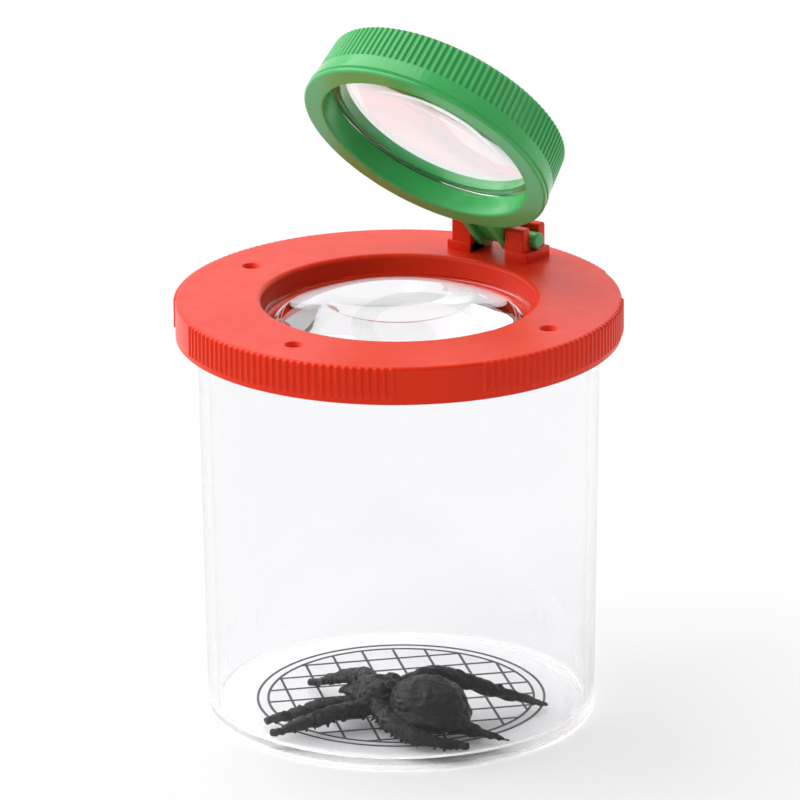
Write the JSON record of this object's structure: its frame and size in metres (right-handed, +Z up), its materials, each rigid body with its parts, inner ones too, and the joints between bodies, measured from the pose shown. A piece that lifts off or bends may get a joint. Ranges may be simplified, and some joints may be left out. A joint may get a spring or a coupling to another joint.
{
  "type": "bug catcher jar",
  "caption": "Clear insect viewing jar with a grid on its floor, a push-on magnifier lid with air holes, a hinged flip-up magnifier and a toy spider inside.",
  "frame": {"origin": "centre of the jar's foot, on the surface that it stands on", "axes": "+Z up the jar, +Y towards the flip magnifier's hinge, +X to its right-hand side by the right-hand rule"},
  "size_m": [0.0698, 0.0698, 0.1101],
  "materials": {
    "clear_plastic": "clear polished",
    "lens_plastic": "clear polished",
    "red_plastic": "semi-gloss moulded",
    "green_plastic": "semi-gloss moulded",
    "grid_ink": "printed ink",
    "spider_rubber": "matte soft plastic"
  },
  "bodies": {
    "jar_body": {"jar": "clear_plastic", "measuring_grid": "grid_ink"},
    "lid_body": {"lid": "red_plastic", "lid_lens": "lens_plastic"},
    "flip_magnifier": {"flip_frame": "green_plastic", "flip_lens": "lens_plastic"},
    "spider_body": {"toy_spider": "spider_rubber"}
  },
  "joints": [
    {"name": "lid_lift", "type": "slide", "parent": "jar_body", "child": "lid_body", "axis": [0, 0, 1], "range_m": [0, 0.06]},
    {"name": "flip_hinge", "type": "hinge", "parent": "lid_body", "child": "flip_magnifier", "pos_m": [0, 0.0276, 0.0703], "axis": [-1, 0, 0], "range_deg": [-49.5, 115.5]},
    {"name": "spider_lift", "type": "slide", "parent": "jar_body", "child": "spider_body", "axis": [0, 0, 1], "range_m": [0, 0.045]}
  ]
}
